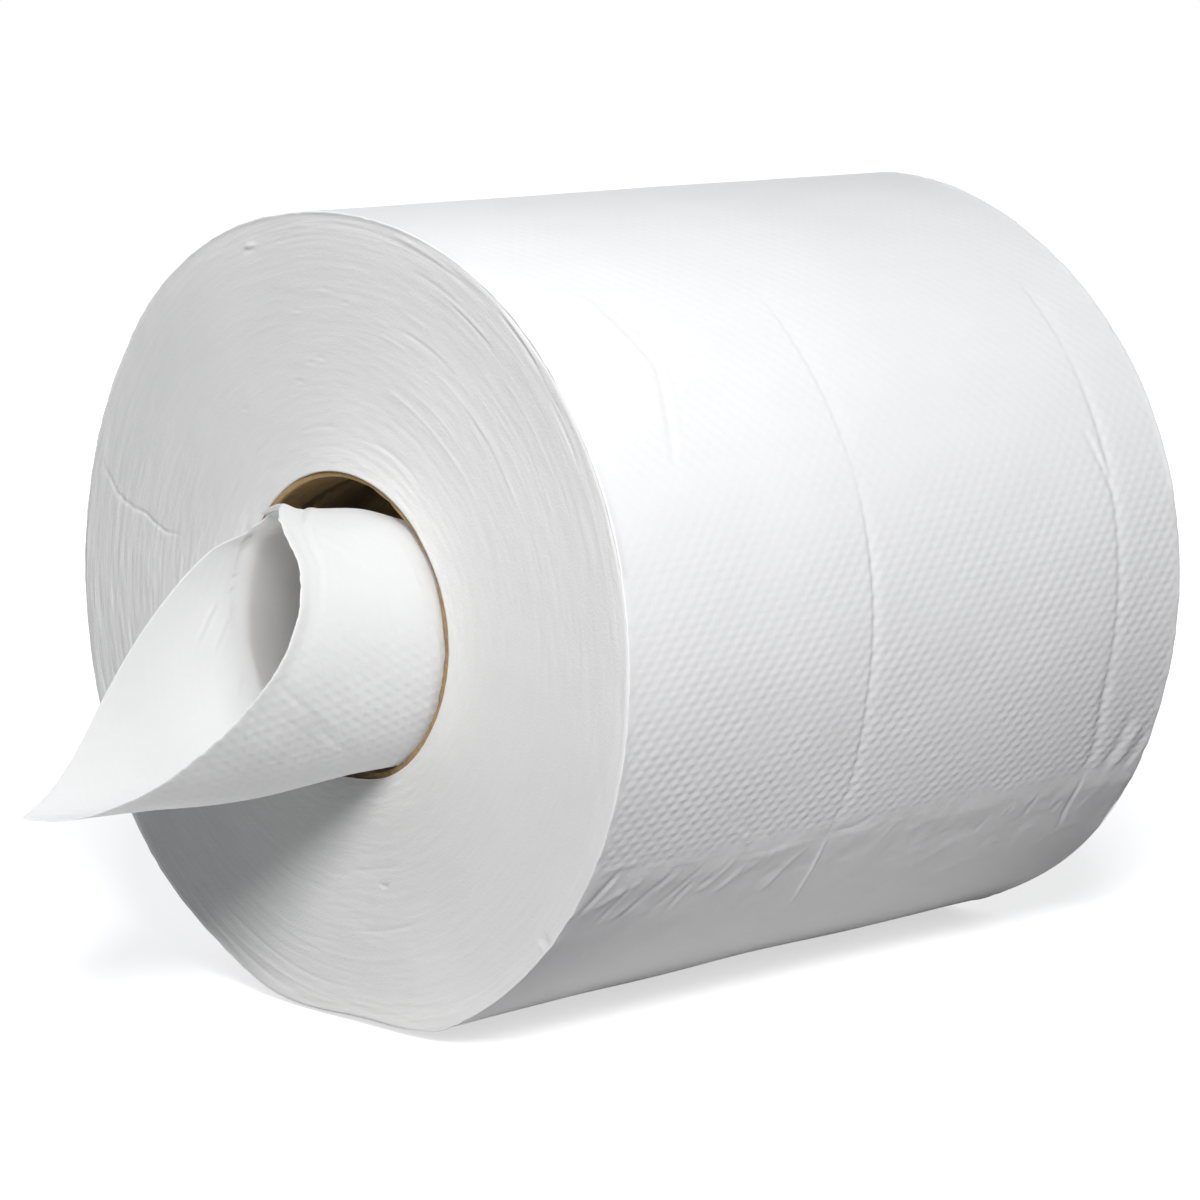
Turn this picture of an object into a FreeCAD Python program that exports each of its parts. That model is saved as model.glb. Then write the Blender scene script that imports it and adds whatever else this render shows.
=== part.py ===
import FreeCAD, Part
import Sketcher
import math
import os

# A centre-pull paper towel roll lying on its side.
# Frame: the origin is on the floor under the middle of the roll, in its small flat spot.
# The roll's axis runs along Y, its open mouth with the pulled sheet looks to -Y, and +Z is up.
# Angles round the roll are counted in degrees from straight down, towards +X.

Vector = FreeCAD.Vector

# Driving sizes in mm, and angles in degrees: name, value, what it is.
DRIVING_SIZES = [
    ("roll_diameter", 203.0, "outside diameter of the wound paper"),
    ("roll_length", 200.0, "width of the paper web, end face to end face"),
    ("flat_width", 42.0, "width of the flat spot that the soft roll lies on"),
    ("tail_step", 0.4, "height of the step where the last turn ends"),
    ("tail_angle", 60.0, "where the last turn ends, from straight down"),
    ("core_diameter", 77.6, "outside diameter of the cardboard core"),
    ("core_wall", 1.3, "wall of the cardboard core"),
    ("core_set_back", 0.5, "how far each end of the core lies below the end face"),
    ("core_drop", 1.2, "how far the core sits below the roll's axis, as the roll sags"),
    ("core_shift", 0.9, "how far the core sits beside the roll's axis"),
    ("turn_line_count", 9, "turn lines pressed into each end face"),
    ("turn_line_depth", 0.45, "depth of a turn line"),
    ("turn_line_width", 1.4, "width of a turn line at the end face"),
    ("turn_line_margin", 5.0, "paper between a turn line and the bore or the outside"),
    ("web_thickness", 0.5, "thickness of the embossed two-ply web"),
    ("web_clearance", 0.3, "gap between the pulled sheet and the core"),
    ("sheet_reach_out", 88.0, "from the end face out to the tip of the pulled sheet"),
    ("sheet_reach_in", 60.0, "from the end face in to the sheet's inner end"),
    ("tip_angle", -7.0, "where the tip lies on the sheet's round"),
    ("near_edge_rise", 30.5, "slope of the torn edge against the sheet's round"),
    ("far_edge_rise", 46.0, "slope of the slit edge against the sheet's round"),
    ("least_reach", 3.5, "how far out both edges stay where they level off near the top"),
    ("level_blend", 6.0, "how softly they level off"),
    ("near_end_angle", 222.0, "where the torn side's lap ends, past the top"),
    ("far_end_angle", -143.0, "where the slit side ends, short of the top"),
    ("crown_drop", 6.3, "how far the sheet's top hangs below the core, at the mouth"),
    ("crown_start_angle", 110.0, "where the sheet leaves the core on its way to the top"),
    ("crown_end_angle", 260.0, "where it would meet the core again"),
    ("inner_end_draw", 12.75, "how much tighter than the core the sheet's inner end is rolled"),
    ("inner_crown_drop", 4.0, "how far the top is drawn in there"),
    ("near_lean", 12.0, "how far the torn side leans in at the edge, beside the tip"),
    ("near_lean_angle", 20.0, "where it leans in most"),
    ("far_lean", 3.0, "how far the slit side leans in at the edge"),
    ("far_lean_angle", -60.0, "where it leans in most"),
    ("lean_spread", 32.0, "how far round both leans spread"),
    ("lip_depth", 6.0, "how far the torn edge bows out near the top"),
    ("lip_angle", 148.0, "where it bows out most"),
    ("lip_spread", 22.0, "how far round the bow spreads"),
]

# Sizes worked out from the driving ones.
DERIVED_SIZES = [
    ("roll_radius", "=roll_diameter / 2"),
    ("axis_height", "=sqrt(roll_radius ^ 2 - (flat_width / 2) ^ 2)"),
    ("core_radius", "=core_diameter / 2"),
    ("core_bore_radius", "=core_radius - core_wall"),
    ("core_length", "=roll_length - 2 * core_set_back"),
    ("core_height", "=axis_height - core_drop"),
    ("first_turn_line", "=core_radius + core_drop + core_shift + turn_line_margin"),
    ("last_turn_line", "=axis_height - tail_step - turn_line_margin"),
    ("sheet_radius", "=core_bore_radius - web_clearance - web_thickness / 2"),
    ("sheet_inner_radius", "=sheet_radius - inner_end_draw"),
]

# Stations along each side of the sheet, through which its edges are drawn.
NEAR_STATIONS = 15
FAR_STATIONS = 9


def fill_size_sheet(doc):
    """Writes the sizes into a spreadsheet and names each cell."""
    sheet = doc.addObject("Spreadsheet::Sheet", "Sizes")
    row = 1
    for name, value, note in DRIVING_SIZES:
        sheet.set("A%d" % row, name)
        sheet.set("B%d" % row, str(value))
        sheet.set("C%d" % row, note)
        sheet.setAlias("B%d" % row, name)
        row += 1
    doc.recompute()
    for name, formula in DERIVED_SIZES:
        sheet.set("A%d" % row, name)
        sheet.set("B%d" % row, formula)
        sheet.setAlias("B%d" % row, name)
        doc.recompute()
        row += 1
    return sheet


def origin_plane(body, role):
    """Finds one of a body's own origin planes."""
    for feature in body.Origin.OriginFeatures:
        if feature.Role == role:
            return feature
    raise ValueError("no origin plane " + role)


def new_body(doc, label, height, side_shift="0"):
    """Adds a body whose own origin lies on its axis, at the given height."""
    body = doc.addObject("PartDesign::Body", label)
    body.Label = label
    body.setExpression(".Placement.Base.x", side_shift)
    body.setExpression(".Placement.Base.z", height)
    return body


def new_sketch(body, name, role):
    """Adds a sketch on one of the body's origin planes."""
    sketch = body.newObject("Sketcher::SketchObject", name)
    sketch.AttachmentSupport = [(origin_plane(body, role), "")]
    sketch.MapMode = "FlatFace"
    return sketch


def tie(sketch, constraint, formula):
    """Adds a sized constraint and binds it to the size sheet."""
    index = sketch.addConstraint(constraint)
    sketch.setExpression("Constraints[%d]" % index, formula)


def pad_both_ways(body, name, sketch, length):
    """Pads a sketch to both sides of its plane."""
    pad = body.newObject("PartDesign::Pad", name)
    pad.Profile = sketch
    pad.SideType = "Symmetric"
    pad.setExpression("Length", length)
    return pad


def roll_outline(body, sizes):
    """The wound paper's end view: round, flat underneath, with the last turn's step."""
    sketch = new_sketch(body, "roll_outline", "XZ_Plane")
    radius = sizes.roll_radius
    inner = radius - sizes.tail_step
    height = sizes.axis_height
    seam = math.radians(sizes.tail_angle - 90.0)
    left = Vector(-math.sqrt(radius ** 2 - height ** 2), -height, 0)
    right = Vector(math.sqrt(inner ** 2 - height ** 2), -height, 0)
    seam_out = Vector(radius * math.cos(seam), radius * math.sin(seam), 0)
    seam_in = Vector(inner * math.cos(seam), inner * math.sin(seam), 0)
    start_angle = math.atan2(right.y, right.x)
    end_angle = math.atan2(left.y, left.x) + 2 * math.pi
    axis = Vector(0, 0, 0)
    up = Vector(0, 0, 1)
    flat = sketch.addGeometry(Part.LineSegment(left, right))
    under_tail = sketch.addGeometry(Part.ArcOfCircle(Part.Circle(axis, up, inner), start_angle, seam))
    step = sketch.addGeometry(Part.LineSegment(seam_in, seam_out))
    last_turn = sketch.addGeometry(Part.ArcOfCircle(Part.Circle(axis, up, radius), seam, end_angle))
    bore_centre = Vector(sizes.core_shift, -sizes.core_drop, 0)
    bore = sketch.addGeometry(Part.Circle(bore_centre, up, sizes.core_radius))
    joins = [(flat, under_tail), (under_tail, step), (step, last_turn), (last_turn, flat)]
    for first, second in joins:
        sketch.addConstraint(Sketcher.Constraint("Coincident", first, 2, second, 1))
    sketch.addConstraint(Sketcher.Constraint("Coincident", under_tail, 3, -1, 1))
    sketch.addConstraint(Sketcher.Constraint("Coincident", last_turn, 3, -1, 1))
    sketch.addConstraint(Sketcher.Constraint("Horizontal", flat))
    sketch.addConstraint(Sketcher.Constraint("PointOnObject", -1, 1, step))
    tie(sketch, Sketcher.Constraint("Radius", last_turn, radius), "Sizes.roll_radius")
    tie(sketch, Sketcher.Constraint("Radius", under_tail, inner), "Sizes.roll_radius - Sizes.tail_step")
    tie(sketch, Sketcher.Constraint("DistanceY", flat, 1, -1, 1, height), "Sizes.axis_height")
    tie(sketch, Sketcher.Constraint("Angle", step, seam), "(Sizes.tail_angle - 90) * 1 deg")
    tie(sketch, Sketcher.Constraint("Radius", bore, sizes.core_radius), "Sizes.core_radius")
    tie(sketch, Sketcher.Constraint("DistanceY", bore, 3, -1, 1, sizes.core_drop), "Sizes.core_drop")
    tie(sketch, Sketcher.Constraint("DistanceX", -1, 1, bore, 3, sizes.core_shift), "Sizes.core_shift")
    return sketch


def turn_line_sketch(body, sizes):
    """One small triangle for each turn line, cut round the axis into the mouth's end face."""
    sketch = new_sketch(body, "turn_line_profiles", "YZ_Plane")
    count = int(sizes.turn_line_count)
    face = -sizes.roll_length / 2
    half_width = sizes.turn_line_width / 2
    pitch = (sizes.last_turn_line - sizes.first_turn_line) / (count - 1)
    for index in range(count):
        radius = sizes.first_turn_line + index * pitch
        low = Vector(face, radius - half_width, 0)
        high = Vector(face, radius + half_width, 0)
        deep = Vector(face + sizes.turn_line_depth, radius, 0)
        mouth = sketch.addGeometry(Part.LineSegment(low, high))
        upper = sketch.addGeometry(Part.LineSegment(high, deep))
        lower = sketch.addGeometry(Part.LineSegment(deep, low))
        sketch.addConstraint(Sketcher.Constraint("Coincident", mouth, 2, upper, 1))
        sketch.addConstraint(Sketcher.Constraint("Coincident", upper, 2, lower, 1))
        sketch.addConstraint(Sketcher.Constraint("Coincident", lower, 2, mouth, 1))
        sketch.addConstraint(Sketcher.Constraint("Vertical", mouth))
        line_radius = "Sizes.first_turn_line + %d * (Sizes.last_turn_line - Sizes.first_turn_line) / %d"
        line_radius = line_radius % (index, count - 1)
        tie(sketch, Sketcher.Constraint("DistanceX", mouth, 1, -1, 1, -face), "Sizes.roll_length / 2")
        tie(sketch, Sketcher.Constraint("DistanceX", mouth, 1, upper, 2, sizes.turn_line_depth),
            "Sizes.turn_line_depth")
        tie(sketch, Sketcher.Constraint("DistanceY", -1, 1, upper, 2, radius), line_radius)
        tie(sketch, Sketcher.Constraint("DistanceY", mouth, 1, upper, 2, half_width),
            "Sizes.turn_line_width / 2")
        tie(sketch, Sketcher.Constraint("DistanceY", upper, 2, mouth, 2, half_width),
            "Sizes.turn_line_width / 2")
    return sketch


def make_paper_roll(doc, sizes):
    """The wound paper: all its turns are one solid."""
    body = new_body(doc, "paper_roll", "Sizes.axis_height")
    outline = roll_outline(body, sizes)
    pad_both_ways(body, "wound_web", outline, "Sizes.roll_length")
    doc.recompute()
    profiles = turn_line_sketch(body, sizes)
    doc.recompute()
    groove = body.newObject("PartDesign::Groove", "turn_lines")
    groove.Profile = profiles
    groove.ReferenceAxis = (profiles, ["H_Axis"])
    groove.Angle = 360
    doc.recompute()
    mirrored = body.newObject("PartDesign::Mirrored", "turn_lines_far_end")
    mirrored.Originals = [groove]
    mirrored.MirrorPlane = (origin_plane(body, "XZ_Plane"), [""])
    body.Tip = mirrored
    doc.recompute()
    return body


def make_core_tube(doc, sizes):
    """The thin cardboard tube that the paper is wound on."""
    body = new_body(doc, "core_tube", "Sizes.core_height", "Sizes.core_shift")
    sketch = new_sketch(body, "core_rings", "XZ_Plane")
    rings = [(sizes.core_radius, "Sizes.core_radius"), (sizes.core_bore_radius, "Sizes.core_bore_radius")]
    for radius, formula in rings:
        ring = sketch.addGeometry(Part.Circle(Vector(0, 0, 0), Vector(0, 0, 1), radius))
        sketch.addConstraint(Sketcher.Constraint("Coincident", ring, 3, -1, 1))
        tie(sketch, Sketcher.Constraint("Radius", ring, radius), formula)
    pad_both_ways(body, "core_wall", sketch, "Sizes.core_length")
    return body


def bell(distance, spread):
    """A smooth bump, 1 in its middle and almost 0 at two spreads away."""
    return math.exp(-(distance / spread) ** 2)


def soft_larger(first, second, blend):
    """The larger of two values, rounded over where they come within the blend of each other."""
    return (first + second + math.hypot(first - second, blend)) / 2


def straight_lines_between(first, second):
    """The face swept by straight lines between two curves with the same knots."""
    surface = Part.BSplineSurface()
    poles = [list(pair) for pair in zip(first.getPoles(), second.getPoles())]
    knots = first.getKnots()
    multiplicities = first.getMultiplicities()
    surface.buildFromPolesMultsKnots(poles, multiplicities, [2, 2], knots, [0.0, 1.0], False, False,
                                     first.Degree, 1)
    return surface.toShape()


class PulledSheet:
    """The corner of the web, rolled into a tube that fits the core and drawn out of it.

    Its section is measured from the core's axis. It is round up to where it leaves the core on the
    torn side, hangs lower at the top, and tucks its end under the slit side.
    """

    def __init__(self, sizes):
        self.sizes = sizes
        self.mouth = -sizes.roll_length / 2
        self.inner_end = self.mouth + sizes.sheet_reach_in

    def crown_dip(self, angle, drop):
        """How much the section is drawn in at an angle, for a top that hangs down by the drop."""
        start = self.sizes.crown_start_angle
        share = (angle - start) / (self.sizes.crown_end_angle - start)
        share = min(max(share, 0.0), 1.0)
        return drop * math.sin(math.pi * share) ** 2

    def edge_reach(self, angle):
        """How far in front of the mouth the sheet's edge lies at an angle."""
        sizes = self.sizes
        rise = sizes.near_edge_rise if angle >= sizes.tip_angle else sizes.far_edge_rise
        arc = math.radians(abs(angle - sizes.tip_angle)) * sizes.sheet_radius
        reach = sizes.sheet_reach_out - arc * math.tan(math.radians(rise))
        reach = soft_larger(reach, sizes.least_reach, sizes.level_blend)
        return reach + sizes.lip_depth * bell(angle - sizes.lip_angle, sizes.lip_spread)

    def lean_at(self, angle):
        """How far the edge leans to -X at an angle."""
        sizes = self.sizes
        near_lean = sizes.near_lean * bell(angle - sizes.near_lean_angle, sizes.lean_spread)
        far_lean = sizes.far_lean * bell(angle - sizes.far_lean_angle, sizes.lean_spread)
        return near_lean - far_lean

    def mouth_point(self, angle, offset):
        """A point where the sheet passes the end face, at an offset from its middle layer."""
        radius = self.sizes.sheet_radius + offset - self.crown_dip(angle, self.sizes.crown_drop)
        turn = math.radians(angle)
        return Vector(radius * math.sin(turn), self.mouth, -radius * math.cos(turn))

    def edge_point(self, angle, offset):
        """A point of the sheet's free edge in front of the end face."""
        return self.mouth_point(angle, offset) - Vector(self.lean_at(angle), self.edge_reach(angle), 0)

    def inner_point(self, angle, offset):
        """A point of the sheet's inner end, a tighter round that lies along the core's underside."""
        sizes = self.sizes
        radius = sizes.sheet_inner_radius + offset - self.crown_dip(angle, sizes.inner_crown_drop)
        turn = math.radians(angle)
        height = -sizes.inner_end_draw - radius * math.cos(turn)
        return Vector(radius * math.sin(turn), self.inner_end, height)

    def curves(self, angles, offset):
        """The free edge, the line at the mouth and the inner end, as curves with the same knots."""
        curves = []
        for point_at in (self.edge_point, self.mouth_point, self.inner_point):
            points = [point_at(angle, offset) for angle in angles]
            curve = Part.BSplineCurve()
            knots = [float(index) for index in range(len(points))]
            curve.interpolate(Points=points, Parameters=knots)
            curves.append(curve)
        return curves

    def side_faces(self, last_angle, stations):
        """The skin of one side of the sheet, open along the line that runs in from the tip."""
        first_angle = self.sizes.tip_angle
        pitch = (last_angle - first_angle) / (stations - 1)
        angles = [first_angle + pitch * index for index in range(stations)]
        half = self.sizes.web_thickness / 2
        inside = self.curves(angles, -half)
        outside = self.curves(angles, half)
        faces = [straight_lines_between(inside[0], outside[0])]
        faces.append(straight_lines_between(inside[2], outside[2]))
        for start, end in ((0, 1), (1, 2)):
            faces.append(straight_lines_between(inside[start], inside[end]))
            faces.append(straight_lines_between(outside[start], outside[end]))
            corners = [curve.value(curve.LastParameter)
                       for curve in (inside[start], inside[end], outside[end], outside[start])]
            faces.append(Part.Face(Part.makePolygon(corners + corners[:1])))
        return faces

    def solid(self):
        """Sews both sides into one closed solid."""
        near_side = self.side_faces(self.sizes.near_end_angle, NEAR_STATIONS)
        far_side = self.side_faces(self.sizes.far_end_angle, FAR_STATIONS)
        shell = Part.makeShell(near_side + far_side)
        shell.sewShape()
        solid = Part.makeSolid(shell)
        if solid.Volume < 0:
            solid.reverse()
        return solid


def make_centre_sheet(doc, sizes):
    """The leading corner of the web, pulled out through the core."""
    feature = doc.addObject("Part::Feature", "centre_sheet")
    feature.Label = "centre_sheet"
    feature.Shape = PulledSheet(sizes).solid()
    feature.Placement = FreeCAD.Placement(Vector(sizes.core_shift, 0, sizes.core_height), FreeCAD.Rotation())
    return feature


def check_document(doc, parts):
    """Stops if any object failed or any piece isn't one valid solid."""
    for item in doc.Objects:
        if "Invalid" in item.State or "Error" in item.State:
            raise RuntimeError("failed object: " + item.Name)
    for part in parts:
        shape = part.Shape
        if shape.isNull() or not shape.isValid() or len(shape.Solids) != 1:
            raise RuntimeError("bad solid: " + part.Label)
        print(part.Label, "volume", round(shape.Volume, 1), "box", shape.BoundBox)


def main():
    """Builds the document and writes one file for each piece."""
    doc = FreeCAD.newDocument("paper_towel_roll")
    sizes = fill_size_sheet(doc)
    parts = [make_paper_roll(doc, sizes), make_core_tube(doc, sizes), make_centre_sheet(doc, sizes)]
    doc.recompute()
    check_document(doc, parts)
    os.makedirs("parts", exist_ok=True)
    for part in parts:
        part.Shape.exportStep("parts/" + part.Label + ".step")


main()
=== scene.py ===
"""Dresses a centre-pull roll of embossed paper towel that lies on its side.

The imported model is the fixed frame: the origin is on the floor under the middle of the roll, the
roll's axis runs along Y with its mouth at -Y, and +Z is up. Sizes are in millimetres and are turned
to metres where a mesh is written. Angles round the roll are in degrees from straight down, towards
+X. A place along the roll is counted from the mouth's end face.
"""
import logging
import math
from collections.abc import Iterable
from dataclasses import dataclass
from enum import Enum

import bpy
import numpy as np
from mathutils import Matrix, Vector


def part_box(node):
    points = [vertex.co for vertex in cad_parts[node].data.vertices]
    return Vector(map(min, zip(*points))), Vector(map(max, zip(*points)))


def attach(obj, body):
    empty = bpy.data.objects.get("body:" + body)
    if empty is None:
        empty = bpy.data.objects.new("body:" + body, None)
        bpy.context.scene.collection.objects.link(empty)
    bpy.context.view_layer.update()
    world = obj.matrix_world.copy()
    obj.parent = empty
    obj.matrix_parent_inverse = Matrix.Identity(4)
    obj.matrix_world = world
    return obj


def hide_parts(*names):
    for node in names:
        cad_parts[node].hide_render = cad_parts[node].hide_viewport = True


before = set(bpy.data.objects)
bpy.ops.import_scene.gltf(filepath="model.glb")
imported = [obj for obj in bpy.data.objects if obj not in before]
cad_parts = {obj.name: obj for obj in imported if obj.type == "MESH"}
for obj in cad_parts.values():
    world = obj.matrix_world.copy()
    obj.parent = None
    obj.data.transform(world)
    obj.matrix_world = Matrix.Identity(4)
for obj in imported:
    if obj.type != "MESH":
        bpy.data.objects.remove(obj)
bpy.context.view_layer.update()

METRES = 0.001
BODY = "root"

log = logging.getLogger("towel_roll")

Array = np.ndarray
Value = Array | float
Point = tuple[float, float]
Triple = tuple[float, float, float]
Socket = bpy.types.NodeSocket
Piece = bpy.types.Object
Material = bpy.types.Material


def bell(distance: Value, spread: float) -> Value:
    """A smooth bump, 1 in its middle and almost 0 at two spreads away."""
    return np.exp(-((distance / spread) ** 2))


def soft_larger(first: Value, second: Value, blend: float) -> Value:
    """The larger of two values, rounded over where they come close."""
    return (first + second + np.hypot(first - second, blend)) / 2


def fade(values: Value, start: float, end: float) -> Array:
    """A smooth ramp from 0 at the start to 1 at the end, which may lie either way."""
    share = np.clip((np.asarray(values) - start) / (end - start), 0, 1)
    return share * share * (3 - 2 * share)


def turned(angle: Value) -> Array:
    """An angle brought into -180 to 180 degrees."""
    return (np.asarray(angle) + 180) % 360 - 180


class Grain:
    """Smooth random values between -1 and 1 on a plane, the same on each run."""

    def __init__(self, seed: int, cells_round: int = 64) -> None:
        """Draws the values at the cell corners.

        Args:
            seed: picks the pattern.
            cells_round: cells before the pattern repeats in the second direction.
        """
        self.corners = np.random.default_rng(seed).uniform(-1, 1, (256, cells_round))

    def at(self, first: Array, second: Array) -> Array:
        """Reads the pattern.

        Args:
            first: places in the first direction, in cells.
            second: places in the second direction, in cells.

        Returns:
            The smooth values there.
        """
        row = np.floor(first).astype(int)
        column = np.floor(second).astype(int)
        share = fade(second - column, 0, 1)
        rows, columns = self.corners.shape
        near, far = (low + (high - low) * share for low, high in (
            [self.corners[(row + down) % rows, (column + over) % columns] for over in (0, 1)] for down in (0, 1)))
        return near + (far - near) * fade(first - row, 0, 1)


@dataclass(frozen=True)
class Line:
    """A crease, ridge or scratch on a flat pattern: a few points joined by straight runs."""

    points: tuple[Point, ...]
    height: float
    width: float
    shadow: float = 0.6
    easing: float = 1.0

    def relief(self, first: Array, second: Array) -> Array:
        """How far the line lifts the surface.

        The right-hand side of the line, seen along it, is drawn out by the easing.

        Args:
            first: places in the first direction, in mm.
            second: places in the second direction, in mm.

        Returns:
            The lift in mm, with a furrow along one side, fading out at both ends.
        """
        lift = np.zeros(np.broadcast(first, second).shape)
        total = sum(math.dist(a, b) for a, b in zip(self.points, self.points[1:]))
        done = 0
        for start, end in zip(self.points, self.points[1:]):
            length = math.dist(start, end)
            along_x = (end[0] - start[0]) / length
            along_y = (end[1] - start[1]) / length
            along = (first - start[0]) * along_x + (second - start[1]) * along_y
            side = (second - start[1]) * along_x - (first - start[0]) * along_y
            past = along - np.clip(along, 0, length)
            share = (done + np.clip(along, 0, length)) / total
            taper = np.minimum(1, 4 * np.minimum(share, 1 - share) + 0.15)
            eased = np.where(side < 0, side / self.easing, side)
            ridge = bell(np.hypot(eased, past), self.width)
            furrow = bell(np.hypot(side + 1.3 * self.width, past), self.width)
            lift_here = (ridge - self.shadow * furrow) * taper * self.height
            lift = np.where(np.abs(lift_here) > np.abs(lift), lift_here, lift)
            done += length
        return lift


@dataclass(frozen=True)
class Embossing:
    """Raised dots in rows, each row shifted by half a dot against the last.

    Three crossing waves make them: two slantwise and one along the web.
    """

    dot_pitch: float = 4.21
    row_pitch: float = 2.28
    row_tilt: float = 0.029
    slant_share: float = 0.32
    cross_share: float = 0.40

    @property
    def row_share(self) -> float:
        """What the wave along the web has left of the whole."""
        return 1 - self.slant_share - self.cross_share

    def height(self, across: Array, along: Array) -> Array:
        """The dots' height, about -0.5 between them and 1 on top, at web places in mm."""
        first = 2 * math.pi * across / self.dot_pitch
        second = math.pi * (along - self.row_tilt * across) / self.row_pitch
        slanting = self.slant_share * np.cos(first - second) + self.cross_share * np.cos(first + second)
        return slanting + self.row_share * np.cos(2 * second)


EMBOSSING = Embossing()


class EndFace(Enum):
    """The two ends of the roll, by the way their faces look along Y."""

    MOUTH = -1
    BACK = 1


@dataclass(frozen=True)
class Dent:
    """A place where the soft roll is out of round; a positive depth bulges out."""

    angle: float
    spread: float
    place: float
    reach: float
    depth: float

    def at(self, angle: Array, place: Array) -> Array:
        """The change of radius at an angle and a place along the roll, in mm."""
        return self.depth * bell(turned(angle - self.angle), self.spread) * bell(place - self.place, self.reach)


@dataclass
class RollForm:
    """The form of the whole roll, with its sizes read from the frame."""

    radius: float
    axis_height: float
    length: float
    core_radius: float
    core_shift: float
    core_height: float
    core_set_back: float
    sheet_reach_out: float
    sheet_reach_in: float
    seam_angle: float = 60.0
    tail_step: float = 0.4
    core_press: Dent = Dent(4, 21, 0, 26, -2.1)
    dents: tuple[Dent, ...] = (
        Dent(-143, 22, 0, 70, 2.2), Dent(178, 30, 0, 90, -1.2), Dent(-88, 22, 0, 70, -0.5),
        Dent(-52, 16, 0, 60, 1.2), Dent(-27, 13, 0, 50, -1), Dent(22, 12, 0, 50, 0.7),
        Dent(3, 11, 0, 34, -3.2), Dent(46, 20, 200, 60, 1.8), Dent(98, 24, 200, 60, 0.5),
        Dent(152, 22, 200, 70, -1))

    @classmethod
    def from_frame(cls) -> "RollForm":
        """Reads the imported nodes' boxes."""
        boxes = ([Vector(corner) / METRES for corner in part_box(node)]
                 for node in ("paper_roll", "core_tube", "centre_sheet"))
        (roll_low, roll_high), (core_low, core_high), (sheet_low, sheet_high) = boxes
        radius = (roll_high.x - roll_low.x) / 2
        return cls(
            radius=radius,
            axis_height=roll_high.z - radius,
            length=roll_high.y - roll_low.y,
            core_radius=(core_high.x - core_low.x) / 2,
            core_shift=(core_high.x + core_low.x) / 2,
            core_height=(core_high.z + core_low.z) / 2,
            core_set_back=core_low.y - roll_low.y,
            sheet_reach_out=roll_low.y - sheet_low.y,
            sheet_reach_in=sheet_high.y - roll_low.y,
        )

    def radius_at(self, angle: Array, place: Array) -> Array:
        """The outside radius, out of round as the soft roll is, in mm."""
        return self.radius + sum(dent.at(angle, place) for dent in self.dents)

    def on_side(self, angle: Array, place: Array, lift: Value) -> Array:
        """Points on the roll's round side.

        Args:
            angle: angles round the roll, in degrees.
            place: places along the roll, in mm from the mouth's face.
            lift: distance outward from the wound surface, in mm.

        Returns:
            An array of points, pressed flat where the roll lies.
        """
        radius = self.radius_at(angle, place) + lift
        turn = np.radians(angle)
        x = radius * np.sin(turn)
        raw = self.axis_height - radius * np.cos(turn)
        z = soft_larger(raw, 0, 2.5) - 0.56 * fade(raw, 12, 0)
        y = place - self.length / 2 + 0 * x
        return np.stack([x, y, np.maximum(z, 0)], axis=-1)


def quads(rows: int, columns: int, first: int = 0, flip: bool = False,
          close_rows: bool = False, close_columns: bool = False) -> Array:
    """The faces of a grid of points.

    Args:
        rows: rows of points.
        columns: points in a row.
        first: number of the grid's first point.
        flip: turns the faces over.
        close_rows: joins the last row to the first.
        close_columns: joins the last column to the first.

    Returns:
        Four point numbers for each face.
    """
    numbers = np.arange(rows * columns).reshape(rows, columns) + first
    if close_rows:
        numbers = np.concatenate([numbers, numbers[:1]], axis=0)
    if close_columns:
        numbers = np.concatenate([numbers, numbers[:, :1]], axis=1)
    corners = [numbers[:-1, :-1], numbers[:-1, 1:], numbers[1:, 1:], numbers[1:, :-1]]
    if flip:
        corners.reverse()
    return np.stack(corners, axis=-1).reshape(-1, 4)


def make_piece(name: str, points: Array, faces: Array, web: Array | None = None,
               marks: dict[str, Array] | None = None) -> Piece:
    """Writes one mesh, with smooth shading.

    Args:
        name: the piece's name.
        points: any grid of points, in mm.
        faces: four point numbers for each face.
        web: the points' places on the flat web in mm, across and along it.
        marks: values for each point that the finish reads, by name.

    Returns:
        The piece, linked to the scene.
    """
    flat = points.reshape(-1, 3) * METRES
    mesh = bpy.data.meshes.new(name)
    mesh.vertices.add(len(flat))
    mesh.vertices.foreach_set("co", flat.ravel().astype(np.float32))
    mesh.loops.add(faces.size)
    mesh.loops.foreach_set("vertex_index", faces.ravel().astype(np.int32))
    mesh.polygons.add(len(faces))
    mesh.polygons.foreach_set("loop_start", np.arange(0, faces.size, 4, dtype=np.int32))
    mesh.update(calc_edges=True)
    mesh.shade_smooth()
    if web is not None:
        layer = mesh.uv_layers.new(name="Web")
        layer.data.foreach_set("uv", web.reshape(-1, 2)[faces.ravel()].ravel().astype(np.float32))
    for mark, values in (marks or {}).items():
        attribute = mesh.attributes.new(mark, "FLOAT", "POINT")
        attribute.data.foreach_set("value", values.ravel().astype(np.float32))
    piece = bpy.data.objects.new(name, mesh)
    bpy.context.scene.collection.objects.link(piece)
    return piece


def fit_out(piece: Piece, node: str, material: Material) -> Piece:
    """Gives a piece its finish, hangs it under the body's empty, hides the imported node it replaces, and hands
    it back.
    """
    piece.data.materials.append(material)
    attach(piece, BODY)
    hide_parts(node)
    return piece


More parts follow.
